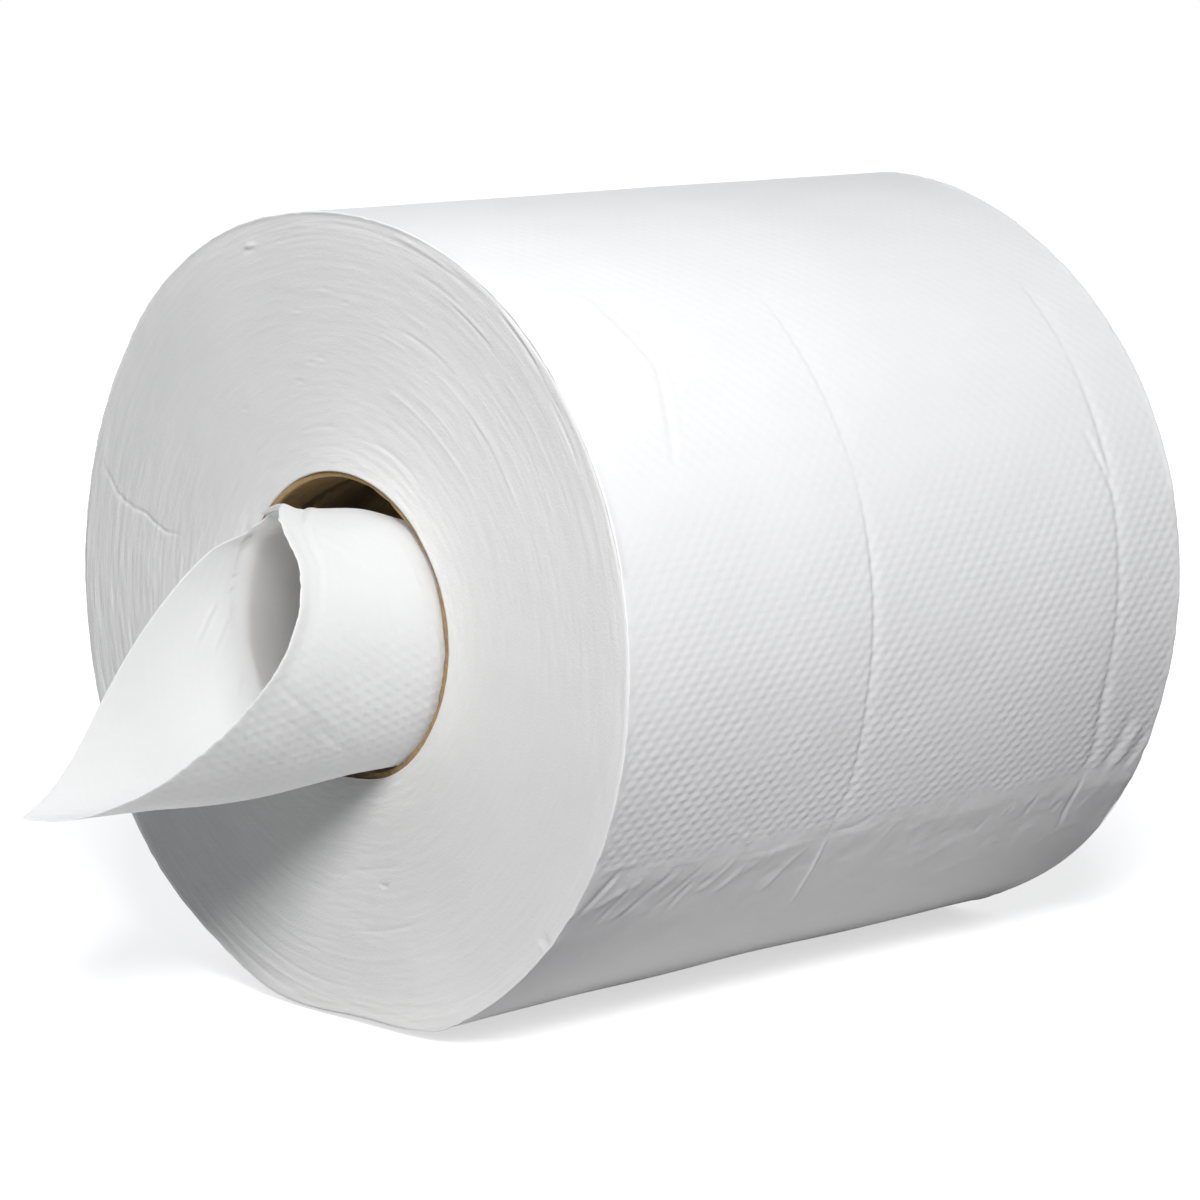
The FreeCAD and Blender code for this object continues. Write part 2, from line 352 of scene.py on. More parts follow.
class Graph:
    """Writes the nodes of a material or of the surroundings with short calls."""

    def __init__(self, owner: Material | bpy.types.World, output: str = "OutputMaterial") -> None:
        """Clears the owner's nodes and adds its output."""
        owner.use_nodes = True
        self.owner = owner
        self.tree = owner.node_tree
        self.tree.nodes.clear()
        self.output = self.add(output)

    @classmethod
    def material(cls, name: str) -> "Graph":
        """Starts a new material."""
        return cls(bpy.data.materials.new(name))

    def add(self, kind: str, inputs: dict | None = None, **settings: object) -> bpy.types.Node:
        """Adds one node.

        Args:
            kind: the node's type, without its usual prefix.
            inputs: a value or another node's socket for each input, by name or number.
            settings: the node's own settings.

        Returns:
            The node.
        """
        node = self.tree.nodes.new("ShaderNode" + kind)
        for key, value in settings.items():
            setattr(node, key, value)
        for key, value in (inputs or {}).items():
            if isinstance(value, Socket):
                self.tree.links.new(value, node.inputs[key])
            else:
                node.inputs[key].default_value = value
        return node

    def math(self, operation: str, *values: Socket | float) -> Socket:
        """Adds a sum of one to three values and returns its result."""
        return self.add("Math", dict(enumerate(values)), operation=operation).outputs[0]

    def vector(self, operation: str, *values: Socket | Triple) -> Socket:
        """Adds a sum of vectors and returns its result, a plain value for a length or a product."""
        node = self.add("VectorMath", dict(enumerate(values)), operation=operation)
        return node.outputs["Value" if operation in ("LENGTH", "DOT_PRODUCT") else 0]

    def weighted(self, *terms: tuple[Socket, float]) -> Socket:
        """Adds values up, each times its weight."""
        (value, weight), *others = terms
        total = self.math("MULTIPLY", value, weight)
        for value, weight in others:
            total = self.math("MULTIPLY_ADD", value, weight, total)
        return total

    def ramp(self, value: Socket, start: float, end: float, low: float = 0.0, high: float = 1.0) -> Socket:
        """Brings a value from one span to another."""
        return self.add("MapRange", {0: value, 1: start, 2: end, 3: low, 4: high}).outputs[0]

    def noise(self, place: Socket, scale: float, detail: float) -> Socket:
        """Adds a noise pattern and returns its value."""
        inputs = {"Vector": place, "Scale": scale, "Detail": detail, "Roughness": 0.6}
        return self.add("TexNoise", inputs).outputs[0]

    def mark(self, name: str) -> Socket:
        """Reads one of the mesh's own marks."""
        return self.add("Attribute", attribute_name=name).outputs["Fac"]

    def web(self) -> tuple[Socket, Socket]:
        """Reads the place on the flat web in mm, across and along it."""
        place = self.add("SeparateXYZ", {0: self.add("UVMap", uv_map="Web").outputs[0]})
        return place.outputs[0], place.outputs[1]

    def shade(self, value: Socket, dark: Socket | Triple, light: Triple) -> Socket:
        """Turns a value from 0 to 1 into a colour between a dark and a light one."""
        dark = dark if isinstance(dark, Socket) else (*dark, 1)
        return self.add("Mix", {0: value, 6: dark, 7: (*light, 1)}, data_type="RGBA").outputs[2]

    def rough(self, colour: Socket, height: Socket, inputs: dict[str, float],
              depth: float = METRES) -> tuple[Socket, Socket]:
        """Adds a rough surface.

        Args:
            colour: its colour.
            height: its relief, in units of the depth.
            inputs: the shader's other inputs, by name.
            depth: one unit of relief in metres.

        Returns:
            The shader and the surface's direction.
        """
        bump = self.add("Bump", {"Height": height, "Strength": 1, "Distance": depth}).outputs[0]
        return self.add("BsdfPrincipled", {"Base Color": colour, "Normal": bump, **inputs}).outputs[0], bump

    def mix(self, share: Socket | float, first: Socket, second: Socket) -> Socket:
        """Mixes two shaders."""
        return self.add("MixShader", {0: share, 1: first, 2: second}).outputs[0]

    def seen_straight(self) -> Socket:
        """A value of 1 for what the camera sees straight, in gloss or through glass."""
        path = self.add("LightPath").outputs
        value = self.math("MAXIMUM", path["Is Camera Ray"], path["Is Glossy Ray"])
        return self.math("MAXIMUM", value, path["Is Transmission Ray"])

    def finish(self, shader: Socket) -> Material | bpy.types.World:
        """Joins the shader to the output and returns the owner."""
        self.tree.links.new(shader, self.output.inputs["Surface"])
        return self.owner


@dataclass(frozen=True)
class WebFinish:
    """The embossed white web: soft dots over a fine crepe, and painted shade where a mesh's mark asks for it."""

    name: str
    light: Triple = (0.93, 0.93, 0.935)
    dark: Triple = (0.87, 0.87, 0.875)
    dot_height: float = 0.085
    crepe_height: float = 0.035
    # Colour of the painted shade laid on the sheet's inner skin
    painted_shade: Triple = (0.79, 0.79, 0.79)
    glow: float = 0.0

    def relief(self, graph: Graph) -> tuple[Socket, Socket]:
        """Writes the dots and the crepe.

        Args:
            graph: the material's graph.

        Returns:
            The height in mm, and a value from 0 to 1 for the shade of the paper.
        """
        across, along = graph.web()
        first = graph.math("MULTIPLY", across, 2 * math.pi / EMBOSSING.dot_pitch)
        second = graph.math("MULTIPLY_ADD", across, -EMBOSSING.row_tilt, along)
        second = graph.math("MULTIPLY", second, math.pi / EMBOSSING.row_pitch)
        slant = graph.math("COSINE", graph.math("SUBTRACT", first, second))
        cross = graph.math("COSINE", graph.math("ADD", first, second))
        rows = graph.math("COSINE", graph.math("MULTIPLY", second, 2))
        dots = graph.weighted((rows, EMBOSSING.row_share), (slant, EMBOSSING.slant_share),
                              (cross, EMBOSSING.cross_share))
        dots = graph.math("MULTIPLY", dots, graph.mark("dots"))
        drawn = graph.add("CombineXYZ", {0: graph.math("MULTIPLY", across, 0.5), 1: along}).outputs[0]
        crepe = graph.noise(drawn, 1.3, 3)
        height = graph.weighted((dots, self.dot_height), (crepe, self.crepe_height))
        return height, graph.weighted((graph.noise(drawn, 0.09, 4), 0.75), (crepe, 0.45))

    def material(self) -> Material:
        """Makes the finish."""
        graph = Graph.material(self.name)
        height, shade = self.relief(graph)
        # Painted shade: the colour is drawn towards the painted shade colour where the mesh's mark is 1, on the
        # sheet's inner skin
        colour = graph.shade(graph.mark("painted_shade"), graph.shade(shade, self.dark, self.light), self.painted_shade)
        paper, facing = graph.rough(colour, height, {
            "Roughness": 0.92, "Specular IOR Level": 0.18, "Sheen Weight": 0.12, "Sheen Roughness": 0.6})
        if not self.glow:
            return graph.finish(paper)
        through = graph.add("BsdfTranslucent", {"Color": colour, "Normal": facing})
        return graph.finish(graph.mix(self.glow, paper, through.outputs[0]))


@dataclass(frozen=True)
class EndGrainFinish:
    """The cut edges of the wound web: fine broken rings round the core."""

    name: str
    light: Triple = (0.92, 0.92, 0.905)
    dark: Triple = (0.75, 0.75, 0.74)
    ring_height: float = 0.09
    fuzz_height: float = 0.07
    rings: tuple[Triple, ...] = ((1100, 4, 0.6), (2600, 9, 0.4))

    def material(self, form: RollForm) -> Material:
        """Makes the finish, with its rings round the core's axis."""
        graph = Graph.material(self.name)
        centre = (form.core_shift * METRES, 0, form.core_height * METRES)
        spot = graph.vector("SUBTRACT", graph.add("TexCoord").outputs["Object"], centre)
        flat = graph.vector("MULTIPLY", spot, (1, 0, 1))
        radius = graph.vector("LENGTH", flat)
        away = graph.add("SeparateXYZ", {0: graph.vector("NORMALIZE", flat)}).outputs
        rings = []
        for turns, stretch, share in self.rings:
            ring = graph.add("CombineXYZ", {
                0: graph.math("MULTIPLY", radius, turns), 1: graph.math("MULTIPLY", away[0], stretch),
                2: graph.math("MULTIPLY", away[2], stretch)})
            rings.append((graph.noise(ring.outputs[0], 1, 2), share))
        strong = graph.math("MULTIPLY", graph.weighted(*rings), graph.mark("rings"))
        # Painted shade in the face's crack, pit, chip, nicks and sunken arcs, read from a mark
        shade = graph.weighted((strong, 0.45), (graph.noise(spot, 28, 4), 0.6), (graph.mark("painted_recess_shade"), -1))
        height = graph.weighted((strong, self.ring_height), (graph.noise(spot, 1500, 2), self.fuzz_height))
        paper, _ = graph.rough(graph.shade(shade, self.dark, self.light), height, {
            "Roughness": 0.95, "Specular IOR Level": 0.12, "Sheen Weight": 0.15})
        return graph.finish(paper)


@dataclass(frozen=True)
class BoardFinish:
    """Unbleached brown board: long fibres, flecks, a darker seam and painted shade, the last two read from the
    seam mark.
    """

    name: str
    light: Triple = (0.56, 0.37, 0.17)
    # The dark colour also serves as the colour of the painted shade in the bore
    dark: Triple = (0.13, 0.086, 0.042)
    fibre_height: float = 0.08

    def material(self) -> Material:
        """Makes the finish, with its fibres along the board's spiral."""
        graph = Graph.material(self.name)
        across, along = graph.web()
        place = graph.add("CombineXYZ", {0: graph.math("MULTIPLY", across, 0.18), 1: along}).outputs[0]
        fibre = graph.noise(place, 1.6, 4)
        # The seam mark darkens the board: the real seam, and painted shade in the bore and low at the mouth
        shade = graph.weighted((graph.noise(place, 0.12, 3), 0.55), (fibre, 0.65), (graph.mark("seam"), -1))
        board, _ = graph.rough(graph.shade(shade, self.dark, self.light), fibre, {
            "Roughness": 0.85, "Specular IOR Level": 0.2}, self.fibre_height * METRES)
        return graph.finish(board)


@dataclass
class WoundSide:
    """The round side of the roll: the embossed web in two stretches, and the smooth strip below the seam."""

    form: RollForm
    row_step: float = 0.70
    crease_row_step: float = 0.38
    crease_places: tuple[Point, ...] = ((80, 85.5), (172.5, 179))
    column_step: float = 0.90
    dot_height: float = 0.105
    smooth_start: float = -12.0
    far_start: float = 202.0
    fine_wrinkles: int = 26
    rim_rows: tuple[Point, ...] = ((0.25, 0.7), (0, 0.3), (0.03, 0.13), (0.13, 0.03), (0.4, 0))
    # Each row of the tables: height, width, easing, then places by angle and distance from the mouth.
    crease_rows: tuple[tuple, ...] = (
        (-0.12, 0.8, 4, (142, 82.6), (124, 83), (111, 83.4)),
        (-0.3, 0.8, 2.5, (112, 83.4), (89, 82.6), (81, 82.1), (75, 82.5), (68, 83.2), (63, 82.3), (59, 81.8)),
        (-0.14, 0.8, 4, (140, 177.5), (127, 177)),
        (-0.28, 1.1, 2, (128, 177), (104, 176), (86, 175.2), (78, 174.6), (73, 174.9), (69, 176.2)),
        (-0.42, 1.7, 1.6, (79, 174.4), (73, 174.9), (69, 176.4), (65, 177.5), (61, 176.4)),
        (-0.26, 1.1, 1, (114, 170.5), (110, 173), (104, 176)),
        (-0.2, 1.2, 1, (146, 28), (131, 34), (116, 25)),
        (-0.36, 1.7, 1.4, (71, 188.6), (66.8, 187.6), (64.2, 186.2), (61, 184)),
        (0.28, 1.6, 1, (69, 194), (65.9, 192.4), (63, 190), (61, 187.2)),
        (-0.28, 1.5, 1, (67, 197.5), (64.5, 196.6), (61, 193.6)),
        (0.22, 0.8, 1, (65.5, 44), (64.4, 45.1), (62.5, 50.1), (61, 53)),
        (-0.25, 0.6, 1, (64.5, 70), (63.7, 71.1), (61.7, 74.3)),
        (-0.22, 0.7, 1, (60.3, 84.6), (60.2, 90.3), (60.9, 94.4), (62, 96.5)),)
    seam_rows: tuple[tuple, ...] = (
        (0.2, 0.6, 1, (60.6, 1), (61.1, 2.9), (61.8, 5.6), (62.3, 9), (62, 16)),
        (0.07, 0.7, 1, (61.2, 15), (60.4, 27), (60, 38)),
        (0.15, 0.6, 1, (58, 44), (58.3, 50.5), (58.4, 57.4), (58.7, 64), (59.2, 72.4), (58.9, 82.2)),
        (0.11, 0.7, 1, (59.2, 82.5), (58.9, 86.2), (58.8, 92.6), (59.6, 99.1), (60.2, 104)),
        (0.08, 0.8, 1, (57.6, 100.5), (59.4, 105.5), (59.8, 112)),)
    wrinkle_rows: tuple[tuple, ...] = (
        (0.34, 0.7, 1, (57.9, 76.6), (55.5, 72.7), (51.5, 69.4), (49.8, 68)),
        (0.36, 0.7, 1, (58.6, 82.4), (53.7, 83.5), (48.3, 84.7), (44.6, 86.3)),
        (0.2, 0.8, 1, (57.6, 61), (54.8, 54), (53, 50.5)),
        (0.2, 0.8, 1, (57.6, 56), (53.8, 51.7), (52, 48)),
        (-0.3, 0.9, 1, (60.4, 177.4), (56.7, 177.5), (53.6, 178.2), (50, 180.2)),
        (-0.2, 0.8, 1, (59.2, 161.6), (57, 161), (54.9, 160.2)),
        (-0.2, 0.7, 1, (57.4, 153.4), (56.2, 152)),
        (-0.4, 0.8, 1, (59, 16.2), (55.3, 13.8), (51.5, 11.2)),
        (-0.42, 0.8, 1, (58.4, 28.4), (54.5, 22.2), (50.5, 16.4)),
        (0.32, 0.8, 1, (58.6, 19), (56.8, 12.8), (54.5, 6)),
        (0.3, 0.8, 1, (56.3, 25.4), (54, 20.6), (51.4, 15.2)),
        (-0.34, 0.8, 1, (56.6, 38.9), (53.4, 36.6), (50.3, 35)),
        (-0.28, 0.8, 1, (58.6, 39.4), (55.3, 34.7), (51.6, 29.4)),
        (-0.5, 0.9, 1, (61.2, 9.2), (58, 6), (54, 2.4)),
        (0.24, 0.8, 1, (58.9, 50.6), (55.4, 46.5), (53, 41.6)),)

    def lines(self, rows: Iterable[tuple]) -> list[Line]:
        """Turns rows of the tables above into lines on the flat web."""
        arc = math.radians(self.form.radius)
        return [Line(tuple((angle * arc, place) for angle, place in places), height, width, 0.3 / easing, easing)
                for height, width, easing, *places in rows]

    def wrinkles(self) -> list[Line]:
        """The wrinkles that fan out below the seam, the finest ones drawn at random."""
        rows = list(self.wrinkle_rows)
        draw = np.random.default_rng(11)
        for _ in range(self.fine_wrinkles):
            place = draw.uniform(4, 190)
            top = draw.uniform(56, 60.5)
            fall = draw.uniform(1.5, 4.5)
            drift = draw.uniform(0.6, 1.5) * fall
            height = draw.uniform(0.05, 0.16) * draw.choice((-1, 1))
            rows.append((height, draw.uniform(0.7, 1.1), 1, (top, place), (top - fall, place - drift)))
        return self.lines(rows)

    def stations(self) -> tuple[Array, Array]:
        """The rows of points along the roll, rounded off at both rims.

        Returns:
            Places from the mouth's face, and how far each row lies inside the wound surface.
        """
        length = self.form.length
        inner = [self.rim_rows[-1][0] + self.row_step]
        while inner[-1] < length - self.rim_rows[-1][0] - 1.5 * self.row_step:
            close = any(start < inner[-1] < end for start, end in self.crease_places)
            inner.append(inner[-1] + (self.crease_row_step if close else self.row_step))
        rows = [*self.rim_rows, *((place, 0) for place in inner)]
        rows += [(length - place, inset) for place, inset in reversed(self.rim_rows)]
        places, insets = np.array(rows).T[..., None]
        return places, insets

    def dot_strength(self, angle: Array, along: Array, across: Array) -> Array:
        """How high the dots stand: uneven, none at the rims, dying out raggedly at the seam."""
        form = self.form
        patchy = 0.86 + 0.26 * Grain(5).at(along / 9, across / 9) + 0.16 * Grain(7).at(along / 3.1, across / 3.4)
        from_rim = np.minimum(across, form.length - across)
        ragged = form.seam_angle + 1.6 + Grain(8).at(along / 7, across / 6)
        ragged = ragged + 0.6 * Grain(12).at(along / 3, across / 2.6)
        strength = patchy * fade(from_rim, 0.8, 3.4) * (0.20 + 0.74 * fade(angle - 0.09 * across, 112, 64))
        strength = strength * fade(angle, ragged - 1.4, ragged + 2.2)
        return strength * fade(angle, 360 + self.smooth_start, 345 + self.smooth_start)

    def strip(self, name: str, span: Point, lines: list[Line], material: Material) -> Piece:
        """Makes one stretch of the round side.

        Args:
            name: the piece's name.
            span: its first and last angle.
            lines: its creases and wrinkles.
            material: its finish.

        Returns:
            The piece.
        """
        form = self.form
        arc = math.radians(form.radius)
        columns = round((span[1] - span[0]) * arc / self.column_step)
        place, inset = self.stations()
        angle = np.linspace(*span, columns + 1)[None, :] + 0 * place
        along = angle * arc
        across = place + 0 * angle
        strength = self.dot_strength(angle, along, across)
        lift = 0.28 * Grain(3).at(along / 31, across / 37) + 0.08 * Grain(4).at(along / 13, across / 17)
        lift = lift + strength * self.dot_height * EMBOSSING.height(across, along)
        mottled = 0.07 * Grain(13).at(along / 2.4, across / 3.6) + 0.10 * Grain(14).at(along / 6.5, across / 8)
        lift = lift + mottled * fade(angle, form.seam_angle + 5, form.seam_angle - 1) * fade(angle, 20, 50)
        for line in lines:
            lift = lift + line.relief(along, across)
        lift = lift - form.tail_step * fade(angle, form.seam_angle - 1, form.seam_angle - 7)
        ragged_rim = 0.16 * Grain(9, 512).at(0 * along, along / 2.6) + 0.2 * Grain(10).at(0 * along, along / 21)
        lift = lift + ragged_rim * bell(np.minimum(across, form.length - across), 1.2)
        points = form.on_side(angle, across, lift * fade(inset, 1, 0) - inset)
        web = np.stack([across, along], axis=-1)
        piece = make_piece(name, points, quads(*points.shape[:2], flip=True), web, {"dots": strength})
        return fit_out(piece, "paper_roll", material)

    def build(self) -> list[Piece]:
        """Makes the three stretches, which meet edge to edge."""
        material = WebFinish("embossed_web").material()
        lines = self.lines(self.crease_rows) + self.wrinkles() + self.lines(self.seam_rows)
        seam, far = self.form.seam_angle, self.far_start
        spans = {"embossed_side": (seam, far), "embossed_far_side": (far, 360 + self.smooth_start),
                 "smooth_strip": (self.smooth_start, seam)}
        return [self.strip(name, span, lines, material) for name, span in spans.items()]


@dataclass(frozen=True)
class Arc:
    """A turn's edge that stands out of the end face, or lies behind it, over a short stretch."""

    radius: float
    start: float
    end: float
    height: float
    width: float = 0.34

    def relief(self, angle: Array, radius: Array) -> Array:
        """How far the arc lifts the face at angles and radii about the roll's axis."""
        middle = (self.start + self.end) / 2
        half = abs(self.end - self.start) / 2 + 1.5
        off = turned(angle - middle)
        wander = 0.25 * np.sin(np.radians(off * 9 + self.radius * 40))
        taper = fade(np.abs(off), half, 0.45 * half)
        return 0.42 * self.height * taper * bell(radius - self.radius - wander, self.width)


@dataclass
class RollEnd:
    """One end face of the roll: the edges of the wound turns round the core."""

    form: RollForm
    side: EndFace
    rings: int
    spokes: int
    ring_height: float = 0.042
    tuck: float = 4.0
    rim_inset: float = 0.35
    nick_places: tuple[Point, ...] = (
        (-14.5, 76), (-4, 81.8), (3.5, 79), (-9.6, 63.5), (-14, 58.6), (-34.7, 50), (-5.8, 64.9))
    arcs: tuple[Arc, ...] = (
        Arc(97.5, 149, 186, -0.34), Arc(98.4, 154, 168, 0.34), Arc(98.4, 186, 208, -0.24),
        Arc(95, 181, 197, -0.22), Arc(93.2, 181, 192, -0.22), Arc(92.2, 151, 162, -0.34),
        Arc(91.3, 144, 152, 0.34), Arc(90.6, 142, 152, -0.42), Arc(98.9, 133, 144, -0.50),
        Arc(99.7, 134, 144, 0.45), Arc(97.2, 120, 129, -0.34), Arc(94.6, 118, 140, 0.16),
        Arc(88, 112, 138, 0.14), Arc(77.6, 149, 162, -0.30), Arc(73.6, 116, 157, 0.24),
        Arc(73.4, 160, 167, 0.26), Arc(82.5, 126, 142, -0.14), Arc(65.2, 141, 154, 0.20),
        Arc(61.5, 126, 166, 0.26), Arc(55.6, 138, 160, -0.16), Arc(48, 141, 165, -0.30),
        Arc(46.6, 140, 170, 0.14), Arc(48.2, 179, 197, -0.34), Arc(43.4, 148, 190, -0.14),
        Arc(49.6, 211, 222, -0.36), Arc(41.4, 128, 178, 0.12), Arc(75.6, 4, 23, -0.26),
        Arc(60.9, 3, 21, -0.24), Arc(83, -20, 20, 0.12), Arc(90.5, -34, 8, -0.18),
        Arc(94.5, -42, 0, 0.20), Arc(97, -46, -8, -0.24), Arc(87, -30, 12, -0.12))

    def outline(self, turn: Array) -> tuple[Array, Array]:
        """The face's outer edge.

        Args:
            turn: angles in degrees.

        Returns:
            The distances from the roll's axis, beside it and up.
        """
        place = 0 if self.side is EndFace.MOUTH else self.form.length
        edge = self.form.on_side(turn, place + 0 * turn, -self.rim_inset)
        return edge[..., 0], np.maximum(edge[..., 2], 0.15)

    def strength(self, turn: Array, share: Array) -> Array:
        """How strongly the turns show: most at the upper right, the rim, the core and the left."""
        seen = 0.6 + 0.2 * bell(turned(turn - 128), 42) + 1.2 * bell(turned(turn + 80), 42)
        return seen + 0.6 * bell(share - 0.97, 0.06) + 0.6 * bell(share - 0.05, 0.08)

    def build(self) -> Piece:
        """Makes the face as rings from inside the bore to the rim."""
        form = self.form
        turn = self.spoke_angles()[None, :]
        share = np.linspace(0, 1, self.rings)[:, None]
        outer_x, outer_z = self.outline(turn)
        place = 0 if self.side is EndFace.MOUTH else form.length
        bore = form.core_radius + 0.05 + form.core_press.at(turn, place)
        inner_x = form.core_shift + bore * np.sin(np.radians(turn))
        inner_z = form.core_height - bore * np.cos(np.radians(turn))
        x = inner_x + (outer_x - inner_x) * share
        z = inner_z + (outer_z - inner_z) * share
        thickness = share * (form.radius - form.core_radius)
        cells = Grain(21 + self.side.value, 45)
        fine = Grain(31 + self.side.value, 90)
        strength = self.strength(turn, share)
        rings = cells.at(thickness / 1.5, turn / 8) + 0.9 * fine.at(thickness / 0.95, turn / 4)
        proud = self.ring_height * strength * rings
        proud = proud + 0.35 * Grain(41, 8).at(thickness / 23, turn / 45)
        # No painted shade on the back face
        painted_recess_shade = np.zeros(proud.shape)
        if self.side is EndFace.MOUTH:
            marks, painted_recess_shade = self.damage(x, z - form.axis_height)
            proud = proud + marks
        proud = proud * fade(share, 1, 0.992)
        y = self.side.value * (form.length / 2 + proud - 0.05)
        points = np.stack([x, y, z], axis=-1)
        points, strength, painted_recess_shade = (np.concatenate([values[:1], values]) for values in (points, strength, painted_recess_shade))
        points[0, :, 1] -= self.side.value * self.tuck
        faces = quads(*points.shape[:2], flip=self.side is EndFace.BACK, close_columns=True)
        name = self.side.name.lower() + "_end_face"
        piece = make_piece(name, points, faces, None, {"rings": strength, "painted_recess_shade": painted_recess_shade})
        return fit_out(piece, "paper_roll", EndGrainFinish(name + "_grain").material(form))

    def spoke_angles(self) -> Array:
        """Even angles, closer together round the crack on the mouth's left."""
        even = np.linspace(0, 360, self.spokes, endpoint=False)
        if self.side is EndFace.BACK:
            return even
        close = np.arange(248, 262, 0.35)
        return np.concatenate([even[even < 247.6], close, even[even > 262.2]])

    def damage(self, x: Array, z: Array) -> tuple[Array, Array]:
        """The crack and the nicks in the mouth's face.

        Args:
            x: places beside the axis, in mm.
            z: places above the axis, in mm.

        Returns:
            How far each lifts the face in mm, and painted shade for each: darker the deeper the crack, pit, chip,
            nicks and sunken arcs lie.
        """
        crack = Line(((-93, 33), (-91.8, 29.9), (-88.9, 27), (-86.9, 24.1), (-83.6, 22.1), (-79.5, 20.7),
                      (-75, 19.8), (-72, 18), (-67.3, 15.9), (-60, 15.6)), -0.24, 0.36, 0).relief(x, z)
        pit = Line(((14.6, -62.4), (16.1, -63.2), (17.8, -62)), -0.34, 0.42, 0.2).relief(x, z)
        fleck = Line(((-34.2, 90.2), (-31, 90.8)), 0.6, 0.6).relief(x, z)
        chip = Line(((71.5, -66), (74.5, -68.5)), -0.4, 0.7).relief(x, z)
        nicks = sum(Line(((across - 1.4, up - 0.1), (across + 1.4, up - 0.1)), -0.16, 0.40).relief(x, z)
                    for across, up in self.nick_places)
        angle = np.degrees(np.arctan2(x, -z))
        radius = np.hypot(x, z)
        arcs = sum(arc.relief(angle, radius) for arc in self.arcs)
        deep = crack + pit + chip + nicks
        # Painted shade: darker the deeper the crack, pit, chip, nicks and sunken arcs lie
        return deep + fleck + arcs, np.clip(-deep, 0, 0.6) * 0.9 + np.clip(-arcs, 0, 0.4) * 0.5


@dataclass
class CoreTube:
    """The spiral-wound cardboard core."""

    form: RollForm
    wall: float = 1.3
    spokes: int = 216
    rows: int = 130
    spiral_pitch: float = 118.0
    seam_depth: float = 0.30

    def build(self) -> Piece:
        """Makes the tube as one closed mesh: outside, mouth rim, bore and back rim."""
        form = self.form
        turn = np.linspace(0, 2 * math.pi, self.spokes, endpoint=False)[None, :]
        start = -form.length / 2 + form.core_set_back
        outer = form.core_radius - 0.02
        bore = form.core_radius - self.wall
        bore_places = np.linspace(start + 0.25, -start - 0.25, self.rows)
        profile = [(outer, -start - 0.2), (outer, 0), (outer, start + 0.2), (outer - 0.15, start)]
        profile += [(outer - 0.45, start), (bore + 0.45, start), (bore + 0.15, start)]
        profile += [(bore, place) for place in bore_places]
        profile += [(bore + 0.15, -start), (outer - 0.15, -start)]
        radius, place = (np.array(values)[:, None] + 0 * turn for values in zip(*profile))
        inside = (radius < bore + 0.5).astype(float)
        at_rim = fade(np.abs(place), -start - 0.7, -start - 0.1)
        ragged = Grain(51, 90).at(np.sign(place) + 5 + radius, turn * 90 / (2 * math.pi))
        coarse = Grain(52, 24).at(np.sign(place) + 5, turn * 24 / (2 * math.pi))
        place = place - np.sign(place) * at_rim * (0.16 * ragged + 0.14 * coarse + 0.1)
        radius = radius + inside * at_rim * (0.12 * ragged + 0.18 * coarse - 0.12)
        phase = (turn / (2 * math.pi) + place / self.spiral_pitch + 0.62) % 1
        gap = (phase - 0.5) * self.spiral_pitch * 0.9
        seam = bell(gap, 1.1) * inside
        ply_step = 0.22 * np.clip(gap / 40, -1, 1) * inside
        # Painted shade inside the bore: darker away from the rim, and more so in two bands along the spiral
        painted_shade_bands = 0.28 + 0.42 * bell(gap - 14, 7) + 0.4 * bell(gap + 22, 5)
        # The board's seam mark: the real dark seam, the painted shade in the bore, and painted shade low in the
        # tube where the sheet shades it
        seam_and_painted_shade = 0.75 * seam + inside * (1 - at_rim) * painted_shade_bands + 1.2 * bell(turned(np.degrees(turn)), 17)
        radius = radius + self.seam_depth * seam + ply_step * (1 - at_rim) * 0.5
        radius = radius + form.core_press.at(np.degrees(turn), place + form.length / 2)
        x = form.core_shift + radius * np.sin(turn)
        z = form.core_height - radius * np.cos(turn)
        points = np.stack([x, place, z], axis=-1)
        rise = math.atan2(self.spiral_pitch, 2 * math.pi * bore)
        arc = turn * bore + 0 * place
        web = np.stack([arc * math.cos(rise) - place * math.sin(rise),
                        arc * math.sin(rise) + place * math.cos(rise)], axis=-1)
        faces = quads(*points.shape[:2], close_rows=True, close_columns=True)
        # The seam mark carries the real seam and all the painted shade of the tube
        piece = make_piece("cardboard_core", points, faces, web, {"seam": seam_and_painted_shade})
        return fit_out(piece, "core_tube", BoardFinish("brown_board").material())


